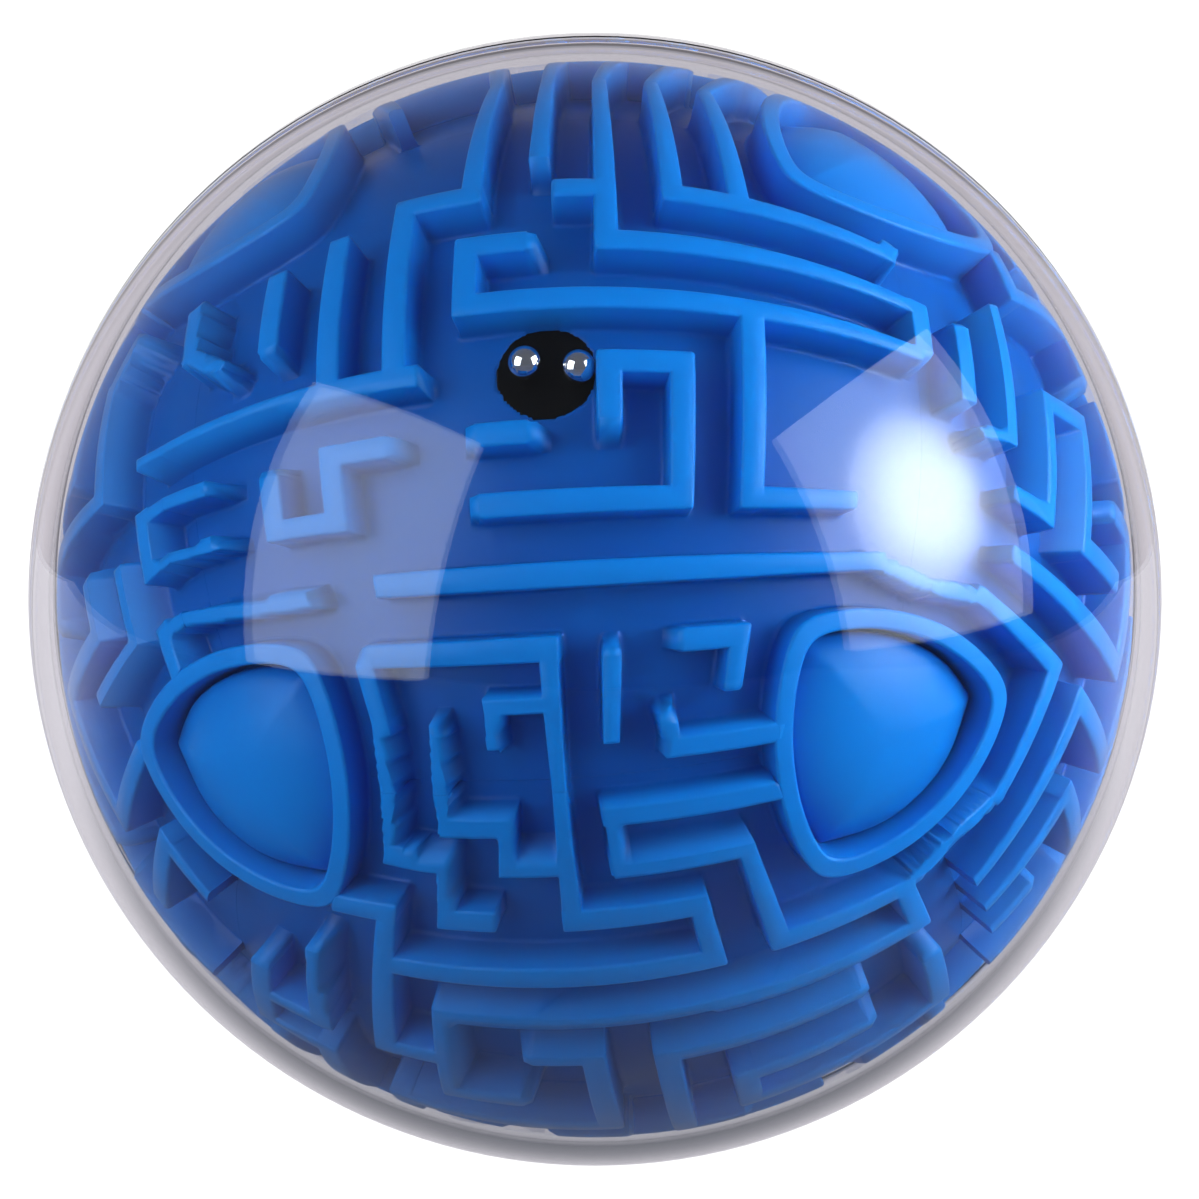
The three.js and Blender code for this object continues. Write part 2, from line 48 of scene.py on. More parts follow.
# The clear shell: its size comes from the frame, its wall and its stepped seam from here
_shell_low, _shell_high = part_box("shell_front")
SHELL_OUTER = (_shell_high[0] - _shell_low[0]) / 2
SEAM_GAP = 0.03 * MM
LIP_LENGTH = 0.5 * MM
LIP_RADIUS = SHELL_OUTER - 1.1 * MM
REBATE_RADIUS = SHELL_OUTER - 1.05 * MM
REBATE_DEPTH = 0.6 * MM
SHELL_THICKNESS = 2.1 * MM
SHELL_INNER = SHELL_OUTER - SHELL_THICKNESS
SHELL_AROUND = 160
SHELL_STEPS = 72

# The blue core: a cube blown up to a ball, each face 12 grid steps wide
WALL_TOP = 57 * MM
CHANNEL_FLOOR = 52.9 * MM
PANEL_UNDERSIDE = 50.9 * MM
GRID_STEP = math.radians(7.5)
FACE_EDGE = 6
PANEL_GAP = 0.002
UNDERSIDE_RINGS = (1, 0.8, 0.6, 0.4, 0.2)
WALL_SHARE = 0.36
WALL_THINNING = 0.28

# A wall's moulded edges
TOP_ROUND = 0.4 * MM
FOOT_FILLET = 0.45 * MM
SIDE_DRAFT = 0.05 * MM
END_ROUND = 0.35 * MM

# Sample lines over a face: beside a wall, in shares of its half width, and how many even ones between
BESIDE_WALL = (0, 0.75, 0.9, 0.98, 1, 1.05, 1.2, 1.45)
BETWEEN_WALLS = 9
CLEAR_OF_WALLS = 1.0

# The wall round a corner cap, as angles from the corner's axis, and the cap in it
BORDER_ARC_RADIUS = math.radians(24.8)
BORDER_ARC_OFFSET = math.radians(13)
BORDER_SOFTNESS = math.radians(0.9)
BORDER_HALF_WALL = math.radians(1.05)
BORDER_ROOT = 52.2 * MM
BORDER_STEPS = 60
BORDER_SECTION_STEPS = 8
HALVINGS = 40
CAP_MARGIN = math.radians(1.5)
CAP_UNDERSIDE = 53.05 * MM
CAP_CROWN = 56.7 * MM
CAP_FALL = 1.9 * MM
CAP_CORNER_FALL = 1.0 * MM
CAP_EDGE_ROUND = 0.5 * MM
CAP_AROUND = 120
CAP_RINGS = 14

# Home disc and steel balls
DISC_RADIUS = 5.2 * MM
DISC_WELL = 4.9 * MM
DISC_TOP = 52.93 * MM
DISC_FALL = DISC_RADIUS ** 2 / (2 * DISC_TOP)
DISC_EDGE_ROUND = 0.25 * MM
DISC_AROUND = 96
DISC_PLACE = (0.1, 0.1)
DISC_UNDERSIDE = 48.7 * MM
WELL_FLOOR = 51.4 * MM
BALL_AROUND = 64
BALL_STEPS = 33

# How the core lies in the shell, in degrees
STAND_ANGLE = 80
CORE_TILT = -25.1
CORE_TURN_ANGLE = -5.6
CORE_LEAN = 1

# The view: distance, height angle and lens, and how far its middle lies from the ball's centre
VIEW_DISTANCE = 22 * SHELL_OUTER
VIEW_HEIGHT = math.radians(10)
VIEW_LENS = 374
AIM_RIGHT = 0.48 * MM
AIM_UP = -0.04 * MM

# The studio, in metres: the room that the camera sees, and the floor that lights the ball
ROOM_SIZE = 7.0
ROOM_DEPTH = 0.8
FLOOR_DEPTH = 1.0
GLOW_START = 0.8
GLOW_FULL = 3.2
LIGHT_TINT = (0.93, 1, 1)

# The room's tones, each from the cosine of the angle off the line of sight's far end
ROOM_TONES = [
    (0.01, (0.12, 0.13, 0.15)),
    (0.4, (0.14, 0.15, 0.17)),
    (0.7, (0.22, 0.22, 0.25)),
    (0.85, (0.46, 0.44, 0.48)),
    (0.93, (0.66, 0.62, 0.67)),
    (0.98, (0.72, 0.69, 0.73)),
    (0.99, (1, 1, 1)),
]

CORE_BODY = "shell_and_core"

FACES = {
    "front": ((1, 0, 0), (0, 1, 0), (0, 0, 1)),
    "right": ((0, 0, -1), (0, 1, 0), (1, 0, 0)),
    "back": ((-1, 0, 0), (0, 1, 0), (0, 0, -1)),
    "left": ((0, 0, 1), (0, 1, 0), (-1, 0, 0)),
    "top": ((1, 0, 0), (0, 0, -1), (0, 1, 0)),
    "bottom": ((1, 0, 0), (0, 0, 1), (0, -1, 0)),
}

# Maze plan: on each face, wall centre-lines in grid steps across and up from the face's middle
MAZE_PLAN = {
    "front": [
        [(-1, 6), (-1, 3), (-2, 3), (-2, 0)],
        [(0, 6), (0, 3.6)],
        [(0.2, 3), (1, 3)],
        [(1, 6), (1, 2), (5.65, 2), (5.65, 1)],
        [(2, 6), (2, 3), (5.3, 3), (5.4, 3.3)],
        [(3, 6), (3, 3)],
        [(0, 2), (-1, 2), (-1, 1), (5.65, 1)],
        [(3, 1), (3, -2), (4.6, -2)],
        [(1, -1), (1, 0), (2, 0), (2, -2), (-1, -2)],
        [(-1, -1), (0, -1)],
        [(-2.6, -3), (5, -3), (6, -3.5)],
        [(-3, -4), (0, -4), (0, -6)],
        [(-3, -4), (-3, -5), (-3.3, -6)],
        [(-2, -5), (-2.3, -6)],
        [(0, -4.8), (-1, -4.8), (-1.1, -5.4)],
        [(1, -4), (1, -5.4)],
        [(2, -4), (3, -4), (3, -4.8)],
        [(1.9, -4.9), (2.1, -5.5), (4.1, -5.5)],
        [(-6, 0.1), (-1.6, 0)],
        [(-3, 2.8), (-3, 0)],
        [(-4, 2.6), (-4, 1)],
        [(-5.6, 3), (-5.5, 1.8), (-4.8, 1.1)],
        [(-6, -1), (-5, -1)],
        [(-6, -2.1), (-5, -2)],
        [(-4, -1), (-4, -2), (-3, -2), (-3, -1), (-2, -1)],
        [(-6, -3.3), (-3.6, -3.1)],
    ],
    "bottom": [
        [(0, 6), (0, 4), (2, 4), (2, 3), (-3, 3)],
        [(-4, 4), (-3, 4), (-3, 1), (-2, 1)],
        [(-3.3, 6), (-3, 5), (-2.1, 4.9), (-2, 4), (-1.2, 4)],
        [(-2.3, 6), (-2.1, 5.5), (-1.05, 5.5), (-1, 4.9), (0, 4.9)],
        [(4, 5.6), (0.9, 5.6), (0.9, 4.8), (3, 4.8), (3, 3), (5, 3), (6, 3.5)],
        [(5, 3), (5, 2), (-2.1, 2.1), (-2.1, 0), (-1, 0)],
        [(-4.1, 3), (-4, 1), (-5, 1)],
        [(-1, 1.2), (0, 1.2), (0, -1), (-3, -1), (-3, -2)],
        [(4, 1.1), (1, 1.1), (1, -2), (2, -2)],
        [(5, 1), (5, -1), (2, -1), (2, 0), (4, 0)],
        [(-5, 2), (-5, 0), (-4, 0), (-4, -3)],
        [(-5, -1), (-5, -2), (-6, -2.4)],
        [(-3, -3), (-2, -3), (-2, -4), (-3, -4), (-3, -6)],
        [(-1, -2), (0, -2), (0, -4), (-1, -4), (-1, -5)],
        [(1, -6), (1, -3), (3, -3), (3, -4)],
        [(2, -5), (2, -4)],
        [(5, -2), (5, -3), (4, -3), (4, -4)],
        [(0, -3), (1, -3)],
        [(-5, -2), (-5, -3)],
        [(-4, -3), (-3, -3)],
    ],
    "right": [
        [(-5.6, 2), (-5.6, 0.3)],
        [(-4.8, 2.6), (-4.8, 0), (-5.4, -0.2)],
        [(-4.7, -1), (-3.9, -1), (-3.9, 1), (-2.9, 1), (-2.9, -1), (-1.6, -1)],
        [(-4.6, -2), (-1, -2), (-1, 0), (-2, 0)],
        [(-6, -3.5), (-5, -3), (-3, -3), (-3, -5), (-3.5, -6)],
        [(-2, -6), (-2, -3), (0, -3), (0, -1), (1, -1)],
        [(-1, -6), (-1, -4), (1, -4), (1, -2), (3, -2)],
        [(-4, 4), (-4, 3), (-2, 3), (-2, 2)],
        [(-3, 6), (-3, 4), (0, 4), (0, 2), (-1, 2), (-1, 1), (1, 1)],
        [(0, 6), (0, 5), (-2, 5)],
        [(1, 6), (1, 3), (3, 3), (3, 4)],
        [(2, 6), (2, 4)],
        [(2, 2), (4, 2), (4, 4)],
        [(5, 3), (5, 1), (2, 1), (2, -1)],
        [(6, 0), (3, 0), (3, -1), (5, -1), (5, -3)],
        [(2, -3), (4, -3), (4, -4)],
        [(2, -4), (2, -6)],
        [(0, -5), (0, -6)],
        [(3, -4), (3, -5)],
        [(2, -4), (3, -4)],
    ],
    "left": [
        [(5.4, 0.1), (6, 0.1)],
        [(6, -1), (5.5, -1), (5.5, -2), (6, -2.1)],
        [(6, -3.3), (5.5, -3.1), (5.5, -4)],
        [(4.8, -1.4), (4.8, -2.8), (3.2, -2.8)],
        [(4, -4), (2, -4), (2, -2), (3.8, -2), (3.8, -1)],
        [(5, 3), (4.4, 2), (4.4, 0), (2, 0), (2, -1)],
        [(4, 4), (3, 4), (3, 1), (1, 1)],
        [(3, -6), (3, -5), (1, -5)],
        [(1, -4), (1, -1), (-1, -1), (-1, -3)],
        [(2, 6), (2, 2), (0, 2), (0, 0), (-2, 0)],
        [(1, 5), (1, 3), (-1, 3), (-1, 1), (-3, 1)],
        [(0, 6), (0, 4), (-2, 4), (-2, 2), (-4, 2)],
        [(-3, 6), (-3, 4)],
        [(-4, 4), (-4, 3), (-3, 3)],
        [(-5, 3), (-5, 1)],
        [(-6, 0), (-4, 0), (-4, -1), (-2, -1), (-2, -2)],
        [(-6, -1), (-5, -1), (-5, -2), (-3, -2), (-3, -3)],
        [(-4, -4), (-2, -4), (-2, -3), (0, -3), (0, -2)],
        [(-5, -3), (-4, -3)],
        [(0, -6), (0, -4)],
        [(-1, -4), (-1, -5), (-3, -5), (-3, -6)],
        [(1, -1), (1, 0)],
        [(-1, -4), (-1, -3)],
        [(-2.4, -6), (-2.2, -5)],
    ],
    "top": [
        [(-1, -6), (-1, -4), (-3, -4), (-3, -6)],
        [(0, -6), (0, -3), (-2, -3), (-2, -1)],
        [(1, -6), (1, -4), (2, -4), (2, -6)],
        [(3, -6), (3, -3), (1, -3), (1, -1), (-1, -1), (-1, -2)],
        [(2, -2), (4, -2), (4, -4)],
        [(2, 0), (2, -1), (5, -1)],
        [(5, -3), (5, -2)],
        [(6, 0), (3, 0), (3, 2), (5, 2)],
        [(-4, -4), (-4, -3), (-3, -3), (-3, -1), (-5, -1)],
        [(-5, -3), (-5, -2), (-4, -2)],
        [(-6, 0), (-1, 0), (-1, 2), (-3, 2)],
        [(-5, 1), (-2, 1)],
        [(0, 0), (0, 3), (-2, 3), (-2, 4)],
        [(1, 1), (2, 1), (2, 3), (4, 3), (4, 4)],
        [(1, 2), (1, 5), (3, 5), (3, 4)],
        [(4, 1), (5, 1)],
        [(-4, 4), (-4, 2)],
        [(-5, 3), (-5, 2)],
        [(-3, 3), (-3, 6)],
        [(-2, 6), (-2, 5), (-1, 5), (-1, 4), (0, 4)],
        [(0, 6), (0, 5)],
        [(0, -4), (1, -4)],
    ],
    "back": [
        [(-3, 6), (-3, 3), (-1, 3), (-1, 5)],
        [(-2, 5), (-2, 4)],
        [(0, 6), (0, 2), (-3, 2), (-3, 1)],
        [(1, 5), (1, 1), (-2, 1), (-2, 0)],
        [(2, 6), (2, 3), (4, 3), (4, 4)],
        [(2, 2), (5, 2), (5, 3)],
        [(6, 1), (3, 1), (3, -1), (4, -1)],
        [(5, 0), (4, 0)],
        [(2, 1), (2, -2), (5, -2), (5, -1)],
        [(-4, 4), (-4, 1), (-5, 1)],
        [(-6, 2), (-5, 2), (-5, 3)],
        [(-6, 0), (-3, 0), (-3, -1), (-5, -1)],
        [(1, 0), (-1, 0), (-1, -2), (-4, -2)],
        [(0, -1), (1, -1), (1, -3), (4, -3), (4, -4)],
        [(-5, -3), (-5, -2)],
        [(-4, -4), (-4, -3), (-2, -3), (-2, -4)],
        [(0, -2), (0, -5), (-2, -5)],
        [(-3, -4), (-3, -6)],
        [(-1, -3), (-1, -4)],
        [(1, -6), (1, -4), (3, -4), (3, -6)],
        [(2, -5), (2, -6)],
    ],
}


CORNERS = {
    f"{depth}_{side}_{level}": (x, y, z)
    for depth, z in (("front", 1), ("back", -1))
    for side, x in (("right", 1), ("left", -1))
    for level, y in (("top", 1), ("bottom", -1))
}


def turn(axis, degrees):
    return np.array(Matrix.Rotation(math.radians(degrees), 3, axis))


CORE_TURN = (turn("X", STAND_ANGLE) @ turn("Z", CORE_LEAN)
             @ turn("X", CORE_TILT) @ turn("Y", CORE_TURN_ANGLE))


# ---- Shapes ----

def piece(name, points, polygons, material, replaced, body=CORE_BODY):
    """A mesh object from points (n x 3) and polygons, a list of index arrays with a polygon a row"""
    mesh = bpy.data.meshes.new(name)
    mesh.vertices.add(len(points))
    mesh.vertices.foreach_set("co", np.asarray(points, dtype=np.float32).ravel())
    corners = np.concatenate([group.ravel() for group in polygons])
    sizes = np.concatenate([np.full(len(group), group.shape[1]) for group in polygons])
    starts = np.concatenate([[0], np.cumsum(sizes)[:-1]])
    mesh.loops.add(len(corners))
    mesh.loops.foreach_set("vertex_index", corners.astype(np.int32))
    mesh.polygons.add(len(sizes))
    mesh.polygons.foreach_set("loop_start", starts.astype(np.int32))
    mesh.polygons.foreach_set("use_smooth", np.full(len(sizes), True))
    mesh.update(calc_edges=True)
    mesh.materials.append(material)
    made = bpy.data.objects.new(name, mesh)
    bpy.context.scene.collection.objects.link(made)
    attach(made, body)
    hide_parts(*replaced)
    return made


def grid_quads(rows, columns, closed=False):
    """Quads between neighbouring points of a grid, row by row; closed joins the last column to the first"""
    row = np.arange(rows - 1)[:, None] * columns
    column = np.arange(columns if closed else columns - 1)[None, :]
    following = (column + 1) % columns
    corners = [row + column, row + following, row + columns + following, row + columns + column]
    return np.stack(corners, axis=-1).reshape(-1, 4)


def fan(centre, ring):
    """Triangles from one point to each neighbouring pair of a closed ring of points"""
    return np.stack([np.full(len(ring), centre), ring, np.roll(ring, -1)], axis=-1)


def spun(profile, around, axis_turn):
    """A closed turned solid: the point at angle a and profile row (radius, height) is
    (radius cos a, height, radius sin a), turned by a matrix; first and last rows are poles"""
    profile = np.asarray(profile, dtype=float)
    angle = np.arange(around) * (2 * math.pi / around)
    radius, height = profile[1:-1, 0][:, None], profile[1:-1, 1][:, None]
    rings = np.stack([radius * np.cos(angle), height + 0 * angle, radius * np.sin(angle)], axis=-1)
    points = np.concatenate([rings.reshape(-1, 3), [[0, profile[0, 1], 0], [0, profile[-1, 1], 0]]])
    last_ring = (len(profile) - 3) * around
    first_pole, last_pole = len(points) - 2, len(points) - 1
    ring = np.arange(around)
    polygons = [
        grid_quads(len(profile) - 2, around, closed=True)[:, ::-1],
        fan(first_pole, ring),
        fan(last_pole, ring + last_ring)[:, ::-1],
    ]
    return points @ axis_turn.T, polygons


def arc(radius, start, end, steps):
    """Points (radius cos a, radius sin a) for a from start to end"""
    angle = np.linspace(start, end, steps)
    return np.stack([radius * np.cos(angle), radius * np.sin(angle)], axis=-1)


# ---- The core's grid ----

def core_directions(face, across, up):
    """Unit vectors in the core's own frame: the face's middle plus tan of each grid angle along its
    two sides, made unit long"""
    side, rise, out = (np.array(vector, dtype=float) for vector in FACES[face])
    s = np.tan(across * GRID_STEP)[..., None]
    t = np.tan(up * GRID_STEP)[..., None]
    vectors = out + s * side + t * rise
    return vectors / np.linalg.norm(vectors, axis=-1, keepdims=True)


def face_directions(face, across, up):
    return core_directions(face, across, up) @ CORE_TURN.T


def spacing(across, up):
    """How far a grid step carries across and up, against a step at the face's middle"""
    s, t = np.tan(across * GRID_STEP), np.tan(up * GRID_STEP)
    squared = 1 + s * s + t * t
    return np.sqrt(1 - t * t / squared), np.sqrt(1 - s * s / squared)


def half_wall(across, up, along_across, along_up):
    """Half a wall's width in grid steps, for a wall that runs in the given direction"""
    spacing_across, spacing_up = spacing(across, up)
    total = abs(along_across) + abs(along_up)
    sideways = (abs(along_up) * spacing_across + abs(along_across) * spacing_up) / total
    return (WALL_SHARE - WALL_THINNING * (1 - sideways)) / 2


def gap_to_stretch(across, up, start, end, carried_start, carried_end):
    """Distance to one straight stretch of wall, negative inside it: that to a rectangle with rounded
    ends, carried half a width past an end where the wall turns"""
    length = math.hypot(end[0] - start[0], end[1] - start[1])
    along_across, along_up = (end[0] - start[0]) / length, (end[1] - start[1]) / length
    half = half_wall(across, up, along_across, along_up)
    spacing_across, spacing_up = spacing(across, up)
    step = GRID_STEP * WALL_TOP
    along = (across - start[0]) * along_across + (up - start[1]) * along_up
    aside = (up - start[1]) * along_across - (across - start[0]) * along_up
    step_along = step * np.hypot(along_across * spacing_across, along_up * spacing_up)
    step_aside = step * np.hypot(along_up * spacing_across, along_across * spacing_up)
    past = np.maximum(-along - carried_start * half, along - length - carried_end * half)
    end_gap = past * step_along + END_ROUND
    side_gap = (np.abs(aside) - half) * step_aside + END_ROUND
    outside = np.hypot(np.maximum(end_gap, 0), np.maximum(side_gap, 0))
    return outside + np.minimum(np.maximum(end_gap, side_gap), 0) - END_ROUND


def corner_frame(signs):
    """Axis through a cube corner, the way towards the front or back face, and the third direction"""
    axis = np.array(signs, dtype=float) / math.sqrt(3)
    ahead = np.array([0, 0, signs[2]], dtype=float)
    ahead -= axis * (ahead @ axis)
    ahead /= np.linalg.norm(ahead)
    return axis, ahead, np.cross(axis, ahead)


def border_level(reach, angle):
    """How far a place lies outside a border's centre line, as an angle. A border is three arcs, each
    centred behind the opposite corner, so it lies where the greatest of the three distances to them
    is 0; the greatest is taken softly (the logarithm of the sum of the powers), which rounds the
    corners"""
    total = 0
    for opposite in np.radians([0, 120, 240]):
        east = reach * np.cos(angle) - BORDER_ARC_OFFSET * math.cos(opposite)
        north = reach * np.sin(angle) - BORDER_ARC_OFFSET * math.sin(opposite)
        total = total + np.exp((np.hypot(east, north) - BORDER_ARC_RADIUS) / BORDER_SOFTNESS)
    return BORDER_SOFTNESS * np.log(total)


def border_reach(angle, outward):
    """Angle from a corner's axis to where the border's level is the given one, found by halving"""
    low = 0 * (angle + outward)
    high = low + BORDER_ARC_RADIUS
    for _ in range(HALVINGS):
        middle = (low + high) / 2
        inside = border_level(middle, angle) < outward
        low, high = np.where(inside, middle, low), np.where(inside, high, middle)
    return middle


def border_share(face, signs):
    """The third of a corner's border that stands on this face: a wall's section carried along the
    border, rooted in the panel, with flat ends. Returns points, polygons and the points of the ends"""
    axis, ahead, aside = corner_frame(signs)
    out = np.array(FACES[face][2], dtype=float)
    middle = math.atan2(out @ aside, out @ ahead)
    angle = middle + np.linspace(-math.pi / 3, math.pi / 3, BORDER_STEPS + 1)[:, None]
    half = BORDER_HALF_WALL * WALL_TOP
    share = np.linspace(0, 1, BORDER_SECTION_STEPS)
    gap = np.concatenate([SIDE_DRAFT + FOOT_FILLET * (1 - share), -TOP_ROUND * share ** 2])
    outward = np.concatenate([-(half + gap), half + gap[::-1]])
    radius = wall_section(np.concatenate([gap, gap[::-1]]))
    outward = np.concatenate([outward[:1], outward, outward[-1:]])
    radius = np.concatenate([[BORDER_ROOT], radius, [BORDER_ROOT]])
    reach = border_reach(angle, outward[None, :] / WALL_TOP)
    tangent = (np.cos(angle) * ahead + np.sin(angle) * aside)[:, None, :]
    points = (np.cos(reach)[..., None] * axis + np.sin(reach)[..., None] * tangent) * radius[:, None]
    first_end = np.arange(len(radius))
    last_end = first_end + (len(angle) - 1) * len(radius)
    polygons = [grid_quads(len(angle), len(radius), closed=True), first_end[None, ::-1], last_end[None]]
    return points.reshape(-1, 3) @ CORE_TURN.T, polygons, np.concatenate([first_end, last_end])


def cap_reach(angle):
    """Angle from a corner's axis to its cap's edge, which follows the border's arcs"""
    from_middle = np.mod(angle, 2 * math.pi / 3) - math.pi / 3
    aside = BORDER_ARC_OFFSET * np.sin(from_middle)
    radius = BORDER_ARC_RADIUS - CAP_MARGIN
    return np.sqrt(radius ** 2 - aside ** 2) - BORDER_ARC_OFFSET * np.cos(from_middle)


def gap_to_walls(face, across, up):
    """Distance to the nearest wall of the face"""
    nearest = np.full(across.shape, CLEAR_OF_WALLS)
    for path in MAZE_PLAN[face]:
        for i in range(len(path) - 1):
            carried_start = 1 if i > 0 or on_edge(path[0]) else 0
            carried_end = 1 if i < len(path) - 2 or on_edge(path[-1]) else 0
            gap = gap_to_stretch(across, up, path[i], path[i + 1], carried_start, carried_end)
            nearest = np.minimum(nearest, gap)
    return nearest


def on_edge(point):
    return max(abs(point[0]), abs(point[1])) >= FACE_EDGE


def wall_section(gap):
    """Radius from the distance to a wall: flat top, quarter-round edge, steep side, quarter-round
    fillet, floor"""
    edge = np.clip(1 + gap / TOP_ROUND, 0, 1)
    crest = WALL_TOP - TOP_ROUND * (1 - np.sqrt(1 - edge ** 2))
    foot = np.clip(1 - (gap - SIDE_DRAFT) / FOOT_FILLET, 0, 1)
    base = CHANNEL_FLOOR + FOOT_FILLET * (1 - np.sqrt(1 - foot ** 2))
    side_share = np.clip(gap / SIDE_DRAFT, 0, 1)
    side = (WALL_TOP - TOP_ROUND) * (1 - side_share) + (CHANNEL_FLOOR + FOOT_FILLET) * side_share
    return np.where(gap <= 0, crest, np.where(gap < SIDE_DRAFT, side, base))


def grid_lines():
    """Sample lines over a face, close together at the sides of a wall on each grid line and even
    between. Each is a place in grid steps, plus a share of the half wall on the grid line before
    and on the one after"""
    between = np.arange(1, BETWEEN_WALLS + 1) / (BETWEEN_WALLS + 1)
    last = BESIDE_WALL[-1]
    rows = []
    for start in range(-FACE_EDGE, FACE_EDGE):
        rows += [(start, share, 0) for share in BESIDE_WALL]
        rows += [(start + way, (1 - way) * last, -way * last) for way in between]
        rows += [(start + 1, 0, -share) for share in BESIDE_WALL[:0:-1]]
    rows.append((FACE_EDGE, 0, 0))
    return np.array(rows, dtype=float)


def warped_grid():
    """Grid coordinates of every sample point of a face, both n x n"""
    place, before, after = grid_lines().T
    plain = place[None, :] + 0 * place[:, None]

    def warp(own, other):
        start = np.minimum(np.floor(own + 1e-9), FACE_EDGE - 1)
        start = np.where(after < 0, np.ceil(own - 1e-9) - 1, start)
        first = half_wall(start, other, 0, 1)
        second = half_wall(start + 1, other, 0, 1)
        limit = FACE_EDGE - PANEL_GAP
        return np.clip(own + before * first + after * second, -limit, limit)

    across = warp(plain, plain.T)
    return across, across.T


def keep_sharp(mesh, points):
    """Marks each edge between two of the points as sharp"""
    ends = np.empty(2 * len(mesh.edges), dtype=np.int32)
    mesh.edges.foreach_get("vertices", ends)
    both = np.isin(ends.reshape(-1, 2), points).all(axis=1)
    mesh.edges.foreach_set("use_edge_sharp", both)


def joined(bodies):
    """Several bodies, each of points, polygons and sharp points, as one"""
    starts = np.cumsum([0] + [len(points) for points, _, _ in bodies[:-1]])
    points = np.concatenate([body[0] for body in bodies])
    polygons = [group + start for body, start in zip(bodies, starts) for group in body[1]]
    sharp = np.concatenate([body[2] + start for body, start in zip(bodies, starts)])
    return points, polygons, sharp


def sunk_for_disc(directions, radius):
    """The radius, lowered to the well's floor where the home disc lies"""
    off_axis = np.linalg.norm(np.cross(directions, disc_axis()), axis=-1) * CHANNEL_FLOOR
    return np.where(off_axis < DISC_WELL, np.minimum(radius, WELL_FLOOR), radius)


def panel_body(face):
    """The walled surface, a rim down to the underside, and the underside, whose rings are the rim
    drawn in towards the panel's middle. Returns points, polygons and the rim's points"""
    across, up = warped_grid()
    directions = face_directions(face, across, up)
    radius = wall_section(gap_to_walls(face, across, up))
    if face == "front":
        radius = sunk_for_disc(directions, radius)
    top = directions * radius[..., None]
    n = len(across)
    index = np.arange(n * n).reshape(n, n)
    rim = np.concatenate([index[0, :-1], index[:-1, -1], index[-1, :0:-1], index[:0:-1, 0]])
    shares = np.array(UNDERSIDE_RINGS)[:, None]
    under = face_directions(face, shares * across.ravel()[rim], shares * up.ravel()[rim]) * PANEL_UNDERSIDE
    centre = face_directions(face, np.zeros(1), np.zeros(1)) * PANEL_UNDERSIDE
    points = np.concatenate([top.reshape(-1, 3), under.reshape(-1, 3), centre])
    ring = n * n + np.arange(len(rim))
    skirt = np.stack([rim, ring, np.roll(ring, -1), np.roll(rim, -1)], axis=-1)
    rings = grid_quads(len(shares), len(rim), closed=True) + n * n
    closing = fan(len(points) - 1, ring + (len(shares) - 1) * len(rim))
    return points, [grid_quads(n, n), skirt, rings[:, ::-1], closing[:, ::-1]], rim


def core_panel(face, material):
    """One moulded panel: its body, and its share of the borders of the four corners it meets"""
    met = [signs for signs in CORNERS.values() if np.dot(signs, FACES[face][2]) > 0]
    points, polygons, sharp = joined([panel_body(face)] + [border_share(face, signs) for signs in met])
    name = f"core_panel_{face}"
    made = piece(name, points, polygons, material, [f"maze_panel_{face}"])
    keep_sharp(made.data, sharp)


def cap_rings(angle, reach):
    """A cap's rings from near its middle to its underside's edge: at each angle, the share of the
    reach and the radius"""
    round_share = CAP_EDGE_ROUND / (WALL_TOP * reach)
    inner = (np.arange(CAP_RINGS) + 1)[:, None] / CAP_RINGS * (1 - round_share)
    quarter = np.radians([18, 36, 54, 72, 90])[:, None]
    edge = 1 - round_share * (1 - np.sin(quarter))
    shares = np.concatenate([inner, edge])
    drops = np.concatenate([0 * inner, CAP_EDGE_ROUND * (1 - np.cos(quarter)) + 0 * edge])
    towards_corner = (1 + np.cos(3 * angle)) / 2
    fall = CAP_FALL * shares ** 2 + CAP_CORNER_FALL * shares ** 6 * towards_corner ** 2
    radius = CAP_CROWN - fall - drops
    last = np.ones((1, len(angle)))
    return np.concatenate([shares, last]), np.concatenate([radius, last * CAP_UNDERSIDE])


def corner_cap(name, signs, material):
    """A crowned rounded triangle in polar form: its reach is its border's less a margin, its height
    falls with the square of the share of the reach, more at the corners, and ends in a quarter
    round"""
    axis, ahead, aside = corner_frame(signs)
    angle = np.arange(CAP_AROUND) * (2 * math.pi / CAP_AROUND)
    reach = cap_reach(angle)
    shares, radius = cap_rings(angle, reach)
    tilt = shares * reach
    tangent = np.cos(angle)[:, None] * ahead + np.sin(angle)[:, None] * aside
    rings = (np.cos(tilt)[..., None] * axis + np.sin(tilt)[..., None] * tangent) * radius[..., None]
    poles = np.array([axis * CAP_CROWN, axis * CAP_UNDERSIDE])
    points = np.concatenate([rings.reshape(-1, 3), poles]) @ CORE_TURN.T
    first_ring = np.arange(CAP_AROUND)
    last_ring = first_ring + (len(rings) - 1) * CAP_AROUND
    top_pole, low_pole = len(points) - 2, len(points) - 1
    sides = grid_quads(len(rings), CAP_AROUND, closed=True)[:, ::-1]
    polygons = [sides, fan(top_pole, first_ring), fan(low_pole, last_ring)[:, ::-1]]
    piece(f"cap_{name}", points, polygons, material, [f"corner_cap_{name}"])


def disc_axis():
    return face_directions("front", *np.array(DISC_PLACE)[:, None])[0]


